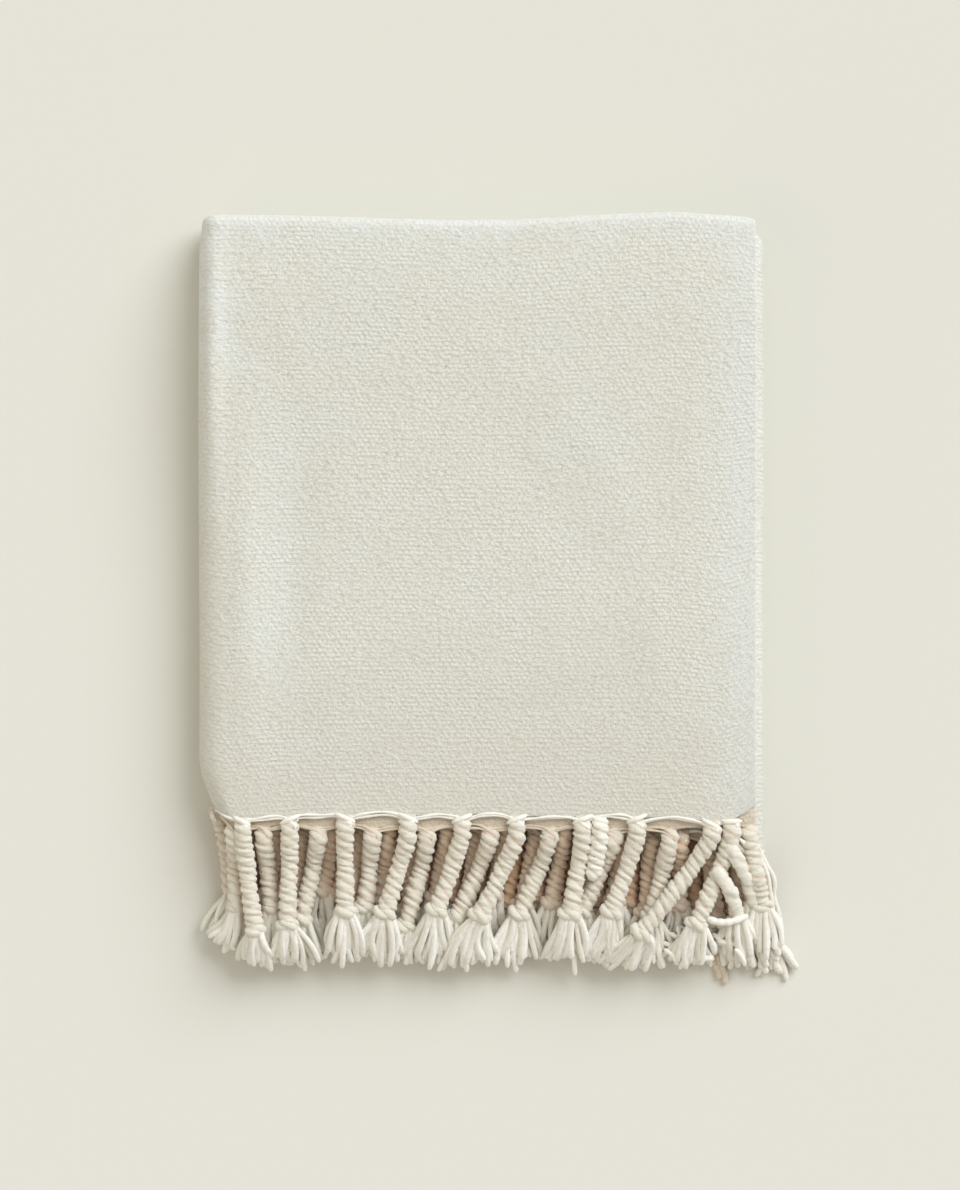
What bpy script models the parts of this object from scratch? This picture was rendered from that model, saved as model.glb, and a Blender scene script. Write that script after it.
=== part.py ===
"""Folded chenille blanket with a fringe of twisted, knotted tassels at both ends. Metres, +Z up.

The cloth is one sheet. It is folded in half twice along its length, which makes a bundle of four
layers, and the bundle is then folded in three across its width: one fold on the left that wraps
the whole stack, one on the right inside it. +Y points to the folded edge and -Y to the fringe.
"""

import math

import bmesh
import bpy
import numpy as np

MM = 0.001

# Sheet and layers
SHEET = 3.0
PITCH = 3.8
LAYERS = 12
HALF = SHEET / 2

# A bundle has four layers. Depth 0 is the outer one, depth 3 pitches the innermost one.
OUTER_TURN = 1.5 * PITCH
INNER_TURN = 0.5 * PITCH
DEEPEST = 3 * PITCH
MID_FOLD_SETBACK = 8.0

# Width fold: heights and radii are those of the outer layer's middle
BASE_Z = HALF
TOP_Z = BASE_Z + (LAYERS - 1) * PITCH
LEFT_RADIUS = (TOP_Z - BASE_Z) / 2
LEFT_Z = BASE_Z + LEFT_RADIUS
RIGHT_RADIUS = 3.5 * PITCH
RIGHT_Z = BASE_Z + RIGHT_RADIUS
MIDDLE_Z = RIGHT_Z + RIGHT_RADIUS

SELVEDGE_X = 209.4
LEFT_X = -216.2 + LEFT_RADIUS + HALF
RIGHT_X = 216.2 - RIGHT_RADIUS - HALF
INNER_END_X = -190.0

# Where each part of the width starts, measured along the sheet from the top selvedge
U_LEFT = SELVEDGE_X - LEFT_X
U_BOTTOM = U_LEFT + math.pi * (LEFT_RADIUS - DEEPEST / 2)
U_RIGHT = U_BOTTOM + RIGHT_X - LEFT_X
U_MIDDLE = U_RIGHT + math.pi * (RIGHT_RADIUS - DEEPEST / 2)
U_END = U_MIDDLE + RIGHT_X - INNER_END_X

# Outline along the width: u, y of the outer hem, y of the hem under it, y where the top fold starts
OUTLINE = (
    (0.0, -218.5, -236.0, 218.0),
    (8.0, -227.0, -237.5, 219.5),
    (24.0, -235.0, -239.0, 220.5),
    (62.0, -231.0, -239.0, 223.0),
    (120.0, -230.0, -238.5, 221.0),
    (180.0, -229.5, -238.0, 218.4),
    (240.0, -229.0, -238.0, 218.6),
    (300.0, -229.0, -238.0, 219.6),
    (355.0, -230.0, -237.0, 220.8),
    (U_LEFT, -232.0, -237.5, 221.6),
    ((U_LEFT + U_BOTTOM) / 2, -224.0, -229.5, 214.0),
    (U_BOTTOM, -221.0, -227.0, 218.0),
    (520.0, -223.0, -230.0, 219.0),
    (600.0, -226.0, -233.0, 219.0),
    (690.0, -229.0, -235.5, 219.0),
    (780.0, -232.0, -238.0, 218.0),
    (816.0, -240.0, -246.0, 217.0),
    (U_RIGHT, -257.0, -262.0, 213.0),
    ((U_RIGHT + U_MIDDLE) / 2, -257.0, -262.0, 208.0),
    (U_MIDDLE, -257.0, -262.0, 213.0),
    (905.0, -242.0, -248.0, 217.0),
    (950.0, -233.5, -240.0, 219.0),
    (1040.0, -231.0, -239.0, 219.0),
    (1130.0, -229.0, -237.0, 219.0),
    (1200.0, -227.0, -235.0, 219.0),
    (U_END, -225.0, -233.0, 219.0),
)
LEFT_FOLD_CELLS = 8
RIGHT_FOLD_CELLS = 6

# Rows of cells in each stretch of the length, from the outer hem to the hem under it
LENGTH_CELLS = (6, 6, 5, 4, 5, 4, 6)

# Soft unevenness of the stack
SWELL = 0.022
SWELL_X = 72.0
SWELL_Y = 88.0
SLOPE = 0.012
EDGE_WAVE = 1.2
EDGE_WAVE_Y = 58.0
HALF_WIDTH = 216.0
HALF_LENGTH = 230.0

# The left fold is tucked in towards the hem: by how much, and where that starts and is whole
TUCK = 12.0
TUCK_X = (-150.0, -216.0)
TUCK_Y = (-172.0, -232.0)

# Fringe
STRIP_GAP = 0.3
STRIP = 3.7
ROOT_HALF = 3.5
ROPE = 5.3
NECK = 3.6
FLAT_NECK = 2.1
KNOT = 7.4
KNOT_TAIL = 4.2
NECK_LIFT = 1.3
CLEARANCE = 0.6
SINK_RUN = 26.0
TWIST = math.radians(45)
ROPE_RINGS = 4
ROOT_STEP = 3.0
SHORTEST_NECK = 4.0
NECK_TO_FULL = 8.0
BOW = 1.15
# Sections of the knot: distance past the drop, half width, half height
KNOT_SECTIONS = ((-2.0, KNOT, ROPE), (3.0, KNOT, ROPE), (6.5, KNOT_TAIL, KNOT_TAIL))
STRAND = 1.8
STRAND_RISE = 2.3
STRAND_LENGTH = 32.0
STRAND_LENGTH_WAVE = 3.5
STRAND_WAVE_STEP = 5.0
# Where a strand bends: share of its length, of its sideways spread and of its shift
STRAND_BEND = (0.42, 0.7, 0.4)
STRAND_LIE = 0.5
TUFT_SHIFT = 0.15
WIDE_SPREAD = 6.8
NARROW_SPREAD = 6.3
SHORTEST_DROP = 58.0
DROP_WAVE = 3.5
DROP_WAVE_STEP = 2.1

# Height at which the ropes of each row settle, above the floor: root section and rope centre
TOP_OUTER_Z = 38.5
TOP_INNER_Z = 27.3
MIDDLE_ROW_Z = 16.3
FLOOR_ROW_Z = 5.3
# Shares of the left and right folds at which the row of a tassel changes
LEFT_UPPER_SHARE = 0.35
LEFT_LOWER_SHARE = 0.7
RIGHT_LOWER_SHARE = 0.3

# Tassels that show on the top section: u of the root, x of the knot, drop from hem to knot
TOP_OUTER = (
    (19.0, 164.0, 77.0),
    (34.2, 122.0, 83.0),
    (91.2, 99.0, 71.0),
    (132.3, 67.5, 73.0),
    (182.4, -1.0, 75.0),
    (224.2, -34.0, 71.0),
    (265.3, -73.5, 73.0),
    (313.1, -103.7, 72.0),
    (354.9, -147.8, 80.0),
    (396.5, -175.0, 83.0),
)
TOP_INNER = (
    (5.0, 214.0, 60.0),
    (66.1, 129.5, 67.0),
    (108.7, 76.5, 63.0),
    (157.3, 29.0, 65.0),
    (202.9, -18.0, 67.0),
    (250.8, -58.0, 75.0),
    (292.6, -89.0, 60.0),
    (333.7, -137.5, 70.0),
    (376.2, -160.5, 61.0),
)
OUTER_NEXT = 430.0
INNER_NEXT = 407.0
NEXT_STEP = 44.5
TASSELS = 29

# Sideways lean of the lower tassels over their drop: x of the root, shift of the knot
LEAN = (
    (-216.0, 10.0),
    (-190.0, -2.0),
    (-100.0, -8.0),
    (50.0, -10.0),
    (140.0, -4.0),
    (180.0, 6.0),
    (216.0, 12.0),
)
# Lowest hem below the top section, from which its inner ropes may sink: x, y
LOWEST_HEM = (
    (-216.0, -243.5),
    (100.0, -244.5),
    (131.0, -247.0),
    (166.0, -254.5),
    (190.0, -267.0),
    (201.0, -270.5),
    (230.0, -271.5),
)

COLOURS = {
    "blanket_cloth": (0.74, 0.72, 0.63, 1.0),
    "fringe_outer": (0.78, 0.76, 0.67, 1.0),
    "fringe_inner": (0.76, 0.73, 0.64, 1.0),
}


def column(table, index):
    return [row[index] for row in table]


def outline(u, index):
    return float(np.interp(u, column(OUTLINE, 0), column(OUTLINE, index)))


def across(u, depth):
    """x and z of a point of the bundle, and the outward direction there."""
    if u <= U_LEFT:
        return SELVEDGE_X - u, TOP_Z - depth, (0.0, 1.0)
    if u < U_BOTTOM:
        turn = math.pi * (u - U_LEFT) / (U_BOTTOM - U_LEFT)
        out = (-math.sin(turn), math.cos(turn))
        radius = LEFT_RADIUS - depth
        return LEFT_X + radius * out[0], LEFT_Z + radius * out[1], out
    if u <= U_RIGHT:
        return LEFT_X + u - U_BOTTOM, BASE_Z + depth, (0.0, -1.0)
    if u < U_MIDDLE:
        turn = math.pi * (u - U_RIGHT) / (U_MIDDLE - U_RIGHT)
        out = (math.sin(turn), -math.cos(turn))
        radius = RIGHT_RADIUS - depth
        return RIGHT_X + radius * out[0], RIGHT_Z + radius * out[1], out
    return RIGHT_X - (u - U_MIDDLE), MIDDLE_Z - depth, (0.0, 1.0)


def along(u, v, side):
    """y and depth at v, in seven stretches from hem to hem, on one face of the sheet."""
    outer_hem = outline(u, 1)
    inner_hem = outline(u, 2)
    crown = outline(u, 3)
    middle = outer_hem + MID_FOLD_SETBACK
    stretch = min(int(v), len(LENGTH_CELLS) - 1)
    part = v - stretch
    turn = math.pi * part
    if stretch == 0:
        return outer_hem + part * (crown - outer_hem), -side
    if stretch == 1:
        radius = OUTER_TURN + side
        return crown + radius * math.sin(turn), OUTER_TURN - radius * math.cos(turn)
    if stretch == 2:
        return crown + part * (middle - crown), DEEPEST + side
    if stretch == 3:
        radius = INNER_TURN + side
        return middle - radius * math.sin(turn), DEEPEST - INNER_TURN + radius * math.cos(turn)
    if stretch == 4:
        return middle + part * (crown - middle), 2 * PITCH - side
    if stretch == 5:
        radius = INNER_TURN - side
        return crown + radius * math.sin(turn), OUTER_TURN + radius * math.cos(turn)
    return crown + part * (inner_hem - crown), PITCH + side


def ramp(value, ends):
    """0 at the first end and before it, 1 at the second and past it."""
    return max(0.0, min(1.0, (value - ends[0]) / (ends[1] - ends[0])))


def tuck(x, y):
    """How far a point of the left fold is drawn in near the hem."""
    near_hem = ramp(y, TUCK_Y)
    return TUCK * ramp(x, TUCK_X) ** 2 * near_hem**2 * (3.0 - 2.0 * near_hem)


def settle(x, y, z):
    """The stack's soft unevenness: heights scale together, so layers keep their order."""
    swell = SWELL * math.sin(x / SWELL_X + 0.6) * math.cos(y / SWELL_Y)
    slope = SLOPE * max(-1.0, min(1.0, -y / HALF_LENGTH))
    wave = EDGE_WAVE * math.sin(y / EDGE_WAVE_Y + 0.4) * x / HALF_WIDTH
    return ((x + wave + tuck(x, y)) * MM, y * MM, z * (1.0 + swell + slope) * MM)


def shell(columns, rows, place):
    """A sheet folded by place(column value, row value, side), closed on both faces and all edges."""
    bm = bmesh.new()
    column_of = bm.verts.layers.int.new("column")
    row_of = bm.verts.layers.int.new("row")
    bmesh.ops.create_grid(bm, x_segments=len(columns) - 1, y_segments=len(rows) - 1, size=1.0)
    for vert in bm.verts:
        vert[column_of] = round((vert.co.x + 1.0) / 2.0 * (len(columns) - 1))
        vert[row_of] = round((vert.co.y + 1.0) / 2.0 * (len(rows) - 1))
    outer = list(bm.verts)
    made = bmesh.ops.extrude_face_region(bm, geom=list(bm.faces), use_keep_orig=True)
    inner = [item for item in made["geom"] if isinstance(item, bmesh.types.BMVert)]
    for verts, side in ((outer, HALF), (inner, -HALF)):
        for vert in verts:
            vert.co = place(columns[vert[column_of]], rows[vert[row_of]], side)
    bmesh.ops.recalc_face_normals(bm, faces=list(bm.faces))
    return bm, column_of, row_of


def even_angles(points):
    """The angle of each corner about their centre, evened out round the circle."""
    count = len(points)
    centre = np.mean(points, axis=0)
    angles = [math.atan2(p[2] - centre[2], p[0] - centre[0]) for p in points]
    order = sorted(range(count), key=lambda i: angles[i])
    step = 2 * math.pi / count
    offsets = [angles[i] - k * step for k, i in enumerate(order)]
    first = math.atan2(sum(map(math.sin, offsets)), sum(map(math.cos, offsets)))
    even = [0.0] * count
    for k, i in enumerate(order):
        even[i] = first + k * step
    return even


def ring(centre, radii, angles, turn, floor=None):
    """Corners of one section. With a floor, it is let down until its lowest corner is on it."""
    points = [
        [centre[0] + radii[0] * math.cos(a + turn), centre[1], centre[2] + radii[1] * math.sin(a + turn)]
        for a in angles
    ]
    if floor is not None:
        lowest = min(p[2] for p in points)
        for p in points:
            p[2] += floor - lowest
    return points


def extrude_to(bm, face, before, after):
    """Extrude one face, carrying each corner from its point in before to the one in after."""
    made = bmesh.ops.extrude_discrete_faces(bm, faces=[face])["faces"][0]
    for vert in made.verts:
        gaps = [sum((a - b) ** 2 for a, b in zip(vert.co, settle(*p))) for p in before]
        vert.co = settle(*after[gaps.index(min(gaps))])
    return made


def sink(y, start):
    """1 at the hem, falling softly to 0 once the rope has run out from under the hems."""
    part = max(0.0, min(1.0, (start - y) / SINK_RUN))
    return (1.0 - part) ** 2 * (1.0 + 2.0 * part)


def tuft(bm, face, end, shift, spread, level):
    """Four loose strands that part from the end of the knot and come to lie side by side."""
    centre = np.mean(end, axis=0)
    slices = bmesh.ops.poke(bm, faces=[face])["faces"]
    middles = [np.array(piece.calc_center_median()) / MM for piece in slices]
    order = sorted(range(len(slices)), key=lambda i: middles[i][0])
    for place, i in enumerate(order):
        sideways = spread * (2.0 * place / (len(order) - 1) - 1.0)
        corners = [list(unsettle(vert.co, end)) for vert in slices[i].verts]
        angles = even_angles(corners)
        rise = STRAND_RISE * math.sin(math.atan2(middles[i][2] - centre[2], middles[i][0] - centre[0]))
        reach = STRAND_LENGTH + STRAND_LENGTH_WAVE * math.sin(STRAND_WAVE_STEP * place + centre[0])
        first = (
            centre[0] + STRAND_BEND[1] * sideways + STRAND_BEND[2] * shift,
            centre[1] - STRAND_BEND[0] * reach,
            centre[2] + rise,
        )
        last = (centre[0] + sideways + shift, centre[1] - reach, level)
        before = corners
        tip = slices[i]
        for target, floor in ((first, None), (last, level)):
            after = ring(target, (STRAND, STRAND), angles, 0.0, floor)
            tip = extrude_to(bm, tip, before, after)
            before = after


def unsettle(co, end):
    """The unsettled point that a corner of the knot's end, or its middle, came from."""
    known = [list(p) for p in end] + [list(np.mean(end, axis=0))]
    gaps = [sum((a - b) ** 2 for a, b in zip(co, settle(*p))) for p in known]
    return known[gaps.index(min(gaps))]


def tassel(bm, face, spec):
    """A twisted rope from a root face on the strip to a knot, then its loose strands."""
    corners = [list(p) for p in spec["corners"]]
    angles = even_angles(corners)
    quarter = math.pi / 2
    tilt = (angles[0] - quarter / 2) % quarter
    tilt -= quarter * round(tilt / quarter)
    level_angles = [a - tilt for a in angles]
    root = np.mean(corners, axis=0)
    drop = spec["drop"]
    clear = max(SHORTEST_NECK, root[1] - spec["clear"] + CLEARANCE)
    full = clear + NECK_TO_FULL
    step = (drop - NECK_TO_FULL - full) / ROPE_RINGS
    stations = [(ROOT_STEP, spec["neck"]), (clear, spec["neck"])]
    stations += [(full + step * k, (ROPE, ROPE)) for k in range(ROPE_RINGS + 1)]
    stations += [(drop + past, (wide, high)) for past, wide, high in KNOT_SECTIONS]
    before = corners
    for index, (out, radii) in enumerate(stations):
        y = root[1] - out
        if index < 2:
            lifted = spec["lift"]
        else:
            lifted = spec["lift"] * max(0.0, 1.0 - (out - clear) / SINK_RUN)
        x = root[0] + (spec["knot_x"] - root[0]) * (max(0.0, out - clear) / (drop - clear)) ** BOW
        x += lifted * spec["out"][0]
        fall = sink(y, spec["start"])
        z = spec["rest"] + (root[2] - spec["rest"]) * fall + lifted * spec["out"][1]
        floor = 0.0 if spec["rest"] == FLOOR_ROW_Z and index > 1 else None
        turn = TWIST * max(0, index - 1)
        after = ring((x, y, z), radii, angles if index < 2 else level_angles, turn, floor)
        face = extrude_to(bm, face, before, after)
        before = after
    level = 0.0 if spec["rest"] == FLOOR_ROW_Z else spec["rest"] - ROPE + STRAND_LIE
    shift = TUFT_SHIFT * (spec["knot_x"] - root[0])
    tuft(bm, face, before, shift, spec["spread"], level)


def row_of_root(u, outer):
    """Where a tassel whose root is at u comes to rest, by the section it hangs from."""
    if u < U_LEFT + LEFT_UPPER_SHARE * (U_BOTTOM - U_LEFT):
        return TOP_OUTER_Z if outer else TOP_INNER_Z
    if u < U_LEFT + LEFT_LOWER_SHARE * (U_BOTTOM - U_LEFT):
        return MIDDLE_ROW_Z
    if u < U_RIGHT + RIGHT_LOWER_SHARE * (U_MIDDLE - U_RIGHT):
        return FLOOR_ROW_Z
    return MIDDLE_ROW_Z


def tassel_list(table, following):
    """Root u, knot x and drop of every tassel of one end: the visible ones, then the rest evenly."""
    rows = list(table)
    for k in range(TASSELS - len(table)):
        u = following + k * NEXT_STEP
        x = across(u, 0.0)[0]
        lean = float(np.interp(x, column(LEAN, 0), column(LEAN, 1)))
        rows.append((u, x + lean, SHORTEST_DROP + DROP_WAVE * (1.0 + math.sin(DROP_WAVE_STEP * k))))
    return rows


def fringe(outer):
    """A narrow strip just off the hem, with every tassel of that end growing from it."""
    depth = 0.0 if outer else PITCH
    hem_index = 1 if outer else 2
    if outer:
        rows = tassel_list(TOP_OUTER, OUTER_NEXT)
    else:
        rows = tassel_list(TOP_INNER, INNER_NEXT)
    # The inner sheet's faces lie the other way round in the bundle
    facing = -1.0 if outer else 1.0

    def place(u, out, side):
        x, z, _ = across(u, depth + facing * side)
        return settle(x, outline(u, hem_index) - out, z)

    cuts = {u + s for u, _, _ in rows for s in (-ROOT_HALF, ROOT_HALF)}
    stops = fold_columns()
    cuts |= {u for u in stops if min(abs(u - row[0]) for row in rows) > ROOT_HALF + 1.0}
    cuts = sorted(c for c in cuts | {0.0, U_END} if 0.0 <= c <= U_END)
    bm, column_of, row_of = shell(cuts, [STRIP_GAP, STRIP_GAP + STRIP], place)
    roots = {}
    for face in bm.faces:
        spots = {vert[column_of] for vert in face.verts}
        if len(spots) == 2 and all(vert[row_of] == 1 for vert in face.verts):
            roots[min(spots)] = face
    for u, knot_x, drop in rows:
        face = roots[cuts.index(u - ROOT_HALF)]
        corners = []
        for s in (-ROOT_HALF, ROOT_HALF):
            for side in (-HALF, HALF):
                x, z, _ = across(u + s, depth + facing * side)
                corners.append((x, outline(u + s, hem_index) - STRIP_GAP - STRIP, z))
        x, _, out = across(u, depth)
        rest = row_of_root(u, outer)
        on_floor_side = rest == FLOOR_ROW_Z
        lowest = float(np.interp(x, column(LOWEST_HEM, 0), column(LOWEST_HEM, 1)))
        under = outline(u, 2) - STRIP_GAP - STRIP
        spec = {
            "corners": corners,
            "out": out,
            "rest": rest,
            "knot_x": knot_x,
            "drop": drop - STRIP,
            "clear": under if outer else outline(u, 2),
            "start": under if rest == TOP_OUTER_Z else lowest,
            "lift": 0.0 if on_floor_side or not outer else NECK_LIFT,
            "neck": (NECK, FLAT_NECK if on_floor_side and outer else NECK),
            "spread": WIDE_SPREAD if rest in (TOP_OUTER_Z, TOP_INNER_Z) else NARROW_SPREAD,
        }
        tassel(bm, face, spec)
    bmesh.ops.recalc_face_normals(bm, faces=list(bm.faces))
    return bm


def fold_columns():
    """Every u at which the cloth has a line of vertices."""
    lines = set(column(OUTLINE, 0))
    for start, end, cells in ((U_LEFT, U_BOTTOM, LEFT_FOLD_CELLS), (U_RIGHT, U_MIDDLE, RIGHT_FOLD_CELLS)):
        lines |= {start + (end - start) * k / cells for k in range(cells + 1)}
    lines = sorted(lines)
    return [u for i, u in enumerate(lines) if i == 0 or u - lines[i - 1] > 0.01]


def cloth():
    """The whole sheet, folded."""
    rows = []
    for stretch, cells in enumerate(LENGTH_CELLS):
        rows += [stretch + k / cells for k in range(cells)]
    rows.append(float(len(LENGTH_CELLS)))

    def place(u, v, side):
        y, depth = along(u, v, side)
        x, z, _ = across(u, depth)
        return settle(x, y, z)

    return shell(fold_columns(), rows, place)[0]


def add(name, bm, collection):
    mesh = bpy.data.meshes.new(name)
    bm.to_mesh(mesh)
    bm.free()
    material = bpy.data.materials.new(name)
    material.use_nodes = True
    shader = material.node_tree.nodes["Principled BSDF"]
    shader.inputs["Base Color"].default_value = COLOURS[name]
    shader.inputs["Roughness"].default_value = 0.9
    shader.inputs["Sheen Weight"].default_value = 0.4
    mesh.materials.append(material)
    obj = bpy.data.objects.new(name, mesh)
    collection.objects.link(obj)


def main():
    for obj in list(bpy.data.objects):
        bpy.data.objects.remove(obj, do_unlink=True)
    collection = bpy.data.collections.new("folded_blanket")
    bpy.context.scene.collection.children.link(collection)
    add("blanket_cloth", cloth(), collection)
    add("fringe_outer", fringe(True), collection)
    add("fringe_inner", fringe(False), collection)


main()
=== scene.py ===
"""Looks of the folded chenille blanket: a finely folded sheet, and its roped, knotted, tufted fringe."""

import math

import bpy
import numpy as np
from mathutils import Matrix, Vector


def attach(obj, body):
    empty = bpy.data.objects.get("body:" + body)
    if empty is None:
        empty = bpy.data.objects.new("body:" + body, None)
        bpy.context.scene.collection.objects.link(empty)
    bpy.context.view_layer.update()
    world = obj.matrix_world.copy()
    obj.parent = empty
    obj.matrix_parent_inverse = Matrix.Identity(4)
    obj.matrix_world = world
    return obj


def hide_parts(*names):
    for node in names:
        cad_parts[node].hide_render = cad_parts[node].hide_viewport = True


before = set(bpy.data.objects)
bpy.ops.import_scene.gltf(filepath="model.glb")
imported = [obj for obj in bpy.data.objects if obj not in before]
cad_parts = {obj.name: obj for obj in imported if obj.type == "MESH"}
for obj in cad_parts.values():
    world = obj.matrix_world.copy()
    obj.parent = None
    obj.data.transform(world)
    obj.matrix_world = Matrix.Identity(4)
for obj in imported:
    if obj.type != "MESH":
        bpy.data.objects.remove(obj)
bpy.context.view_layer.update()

MM = 0.001

# The fold, in millimetres, with the same values as the solids. u runs across the flat cloth
# from the top selvedge, v counts the stretches of its length from the outer hem, and depth
# goes into a bundle of four layers from the outer one.
SHEET = 3.0
PITCH = 3.8
LAYERS = 12
HALF = SHEET / 2
OUTER_TURN = 1.5 * PITCH
INNER_TURN = 0.5 * PITCH
DEEPEST = 3 * PITCH
MID_FOLD_SETBACK = 8.0
BASE_Z = HALF
TOP_Z = BASE_Z + (LAYERS - 1) * PITCH
LEFT_RADIUS = (TOP_Z - BASE_Z) / 2
LEFT_Z = BASE_Z + LEFT_RADIUS
RIGHT_RADIUS = 3.5 * PITCH
RIGHT_Z = BASE_Z + RIGHT_RADIUS
MIDDLE_Z = RIGHT_Z + RIGHT_RADIUS
SELVEDGE_X = 209.4
FOLD_X = 216.2
LEFT_X = -FOLD_X + LEFT_RADIUS + HALF
RIGHT_X = FOLD_X - RIGHT_RADIUS - HALF
INNER_END_X = -190.0
U_LEFT = SELVEDGE_X - LEFT_X
U_BOTTOM = U_LEFT + math.pi * (LEFT_RADIUS - DEEPEST / 2)
U_RIGHT = U_BOTTOM + RIGHT_X - LEFT_X
U_MIDDLE = U_RIGHT + math.pi * (RIGHT_RADIUS - DEEPEST / 2)
U_END = U_MIDDLE + RIGHT_X - INNER_END_X

# u, y of the outer hem, y of the hem under it, y where the top fold starts
OUTLINE = np.array(
    (
        (0.0, -218.5, -236.0, 219.5),
        (8.0, -227.0, -237.5, 221.3),
        (24.0, -235.0, -239.0, 222.5),
        (62.0, -231.0, -239.0, 225.0),
        (120.0, -230.0, -238.5, 222.8),
        (180.0, -229.5, -238.0, 219.0),
        (240.0, -229.0, -238.0, 218.6),
        (300.0, -229.0, -238.0, 220.4),
        (355.0, -230.0, -237.0, 222.0),
        (U_LEFT, -232.0, -237.5, 222.4),
        ((U_LEFT + U_BOTTOM) / 2, -224.0, -229.5, 222.5),
        (U_BOTTOM, -221.0, -227.0, 218.0),
        (520.0, -223.0, -230.0, 219.0),
        (600.0, -226.0, -233.0, 219.0),
        (690.0, -229.0, -235.5, 219.0),
        (780.0, -232.0, -238.0, 218.0),
        (816.0, -240.0, -246.0, 217.0),
        (U_RIGHT, -257.0, -262.0, 213.0),
        ((U_RIGHT + U_MIDDLE) / 2, -257.0, -262.0, 208.0),
        (U_MIDDLE, -257.0, -262.0, 213.0),
        (905.0, -242.0, -248.0, 217.0),
        (950.0, -233.5, -240.0, 219.0),
        (1040.0, -231.0, -239.0, 219.0),
        (1130.0, -229.0, -237.0, 219.0),
        (1200.0, -227.0, -235.0, 219.0),
        (U_END, -225.0, -233.0, 219.0),
    )
)

# Cells across each section and fold of the width, and along each stretch of the length
WIDTH_CELLS = (
    (0.0, U_LEFT, 112),
    (U_LEFT, U_BOTTOM, 22),
    (U_BOTTOM, U_RIGHT, 24),
    (U_RIGHT, U_MIDDLE, 12),
    (U_MIDDLE, U_END, 22),
)
LENGTH_CELLS = (124, 12, 20, 8, 20, 8, 22)
STRETCHES = len(LENGTH_CELLS)
STRETCH_LENGTHS = (450.0, 18.0, 441.0, 6.0, 441.0, 6.0, 457.0)
FLAT_LENGTH = sum(STRETCH_LENGTHS)
# Distances from the edges at which the sheet has points that round them off, and the least of
# them, in half thicknesses, that the rounding counts with
EDGE_CELLS = (0.0, 0.35, 0.9, 1.6)
LEAST_INSET = 0.02

# What is drawn in on the left, how far, and the y between which this grows: the fold towards
# the hem, the fold towards the far edge, and the ropes
TUCK = 12.0
TUCK_X = (-150.0, -216.0)
TUCK_Y = (-186.0, -232.0)
TOP_TUCK = 1.8
TOP_TUCK_Y = (203.0, 218.0)
ROPE_TUCK = 7.0
ROPE_TUCK_Y = (-218.0, -244.0)

# Unevenness of the stack: the swell of its height, its slope, and the waves of its sides
SWELL, SWELL_X, SWELL_Y, SWELL_START = 0.022, 72.0, 88.0, 0.6
SLOPE = 0.012
EDGE_WAVE, EDGE_WAVE_Y, EDGE_WAVE_START = 0.4, 58.0, 0.4
HALF_WIDTH = 216.0
HALF_LENGTH = 230.0
HEM_Y = -232.0

# Relief of the top section, in heights added to the whole stack: x, y, half sizes along and
# across, angle in degrees of the long side, height. Long soft rises and falls.
CREASES = (
    (-181.0, -50.0, 120.0, 15.0, 90.0, 4.2),
    (-143.0, -50.0, 120.0, 15.0, 88.0, -1.8),
    (-208.0, 130.0, 100.0, 10.0, 90.0, 7.5),
    (-60.0, 60.0, 90.0, 14.0, 62.0, 0.8),
    (-85.0, 40.0, 80.0, 12.0, 62.0, -0.7),
    (20.0, 110.0, 70.0, 13.0, 135.0, 0.6),
    (45.0, 20.0, 90.0, 15.0, 128.0, -0.7),
    (90.0, 40.0, 90.0, 16.0, 120.0, 0.8),
    (-20.0, -90.0, 80.0, 14.0, 20.0, 0.6),
    (60.0, -140.0, 90.0, 14.0, 12.0, -0.7),
    (130.0, -90.0, 70.0, 13.0, 100.0, 0.7),
    (-110.0, -150.0, 60.0, 12.0, 80.0, 0.7),
    (-150.0, 150.0, 50.0, 10.0, 110.0, 0.7),
    (160.0, 160.0, 50.0, 10.0, 70.0, -0.7),
)
# Falls towards the right selvedge, the top fold and the hem: how much, from where to where
RIGHT_FALL = (4.6, 152.0, 212.0)
TOP_FALL = (5.5, 160.0, 230.0)
HEM_FALL = (4.2, -110.0, -232.0)

# Fringe, in millimetres, as in the solids: the strip of roots, and how ropes leave the hem
STRIP_GAP = 0.3
STRIP = 3.7
CLEARANCE = 0.6
SHORTEST_NECK = 4.0
NECK_LIFT = 1.3
SINK_RUN = 26.0
ROOT_COVER = 6.0
BOW = 1.15
# Height of the ropes of each row over the floor
TOP_OUTER_Z = 38.5
TOP_INNER_Z = 27.3
MIDDLE_ROW_Z = 16.3
FLOOR_ROW_Z = 5.3
# Shares of the two side folds at which one row of roots ends and the next begins
LEFT_UPPER_SHARE, LEFT_LOWER_SHARE, RIGHT_LOWER_SHARE = 0.35, 0.7, 0.3
# Tassels that show on the top section: u of the root, x of the knot, drop from hem to knot
TOP_OUTER = (
    (19.0, 164.0, 77.0),
    (34.2, 122.0, 83.0),
    (91.2, 99.0, 71.0),
    (132.3, 67.5, 73.0),
    (182.4, -1.0, 75.0),
    (224.2, -34.0, 71.0),
    (265.3, -73.5, 73.0),
    (313.1, -103.7, 72.0),
    (354.9, -147.8, 80.0),
    (396.5, -175.0, 83.0),
)
TOP_INNER = (
    (5.0, 214.0, 60.0),
    (66.1, 129.5, 67.0),
    (108.7, 76.5, 63.0),
    (157.3, 29.0, 65.0),
    (202.9, -18.0, 67.0),
    (250.8, -58.0, 75.0),
    (292.6, -89.0, 60.0),
    (333.7, -137.5, 70.0),
    (376.2, -160.5, 61.0),
)
# The tassels after them: u of the first, their step, how many each end has, their drops
OUTER_NEXT = 430.0
INNER_NEXT = 407.0
NEXT_STEP = 44.5
TASSELS = 29
SHORTEST_DROP = 58.0
DROP_WAVE = 3.5
DROP_WAVE_STEP = 2.1
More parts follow.
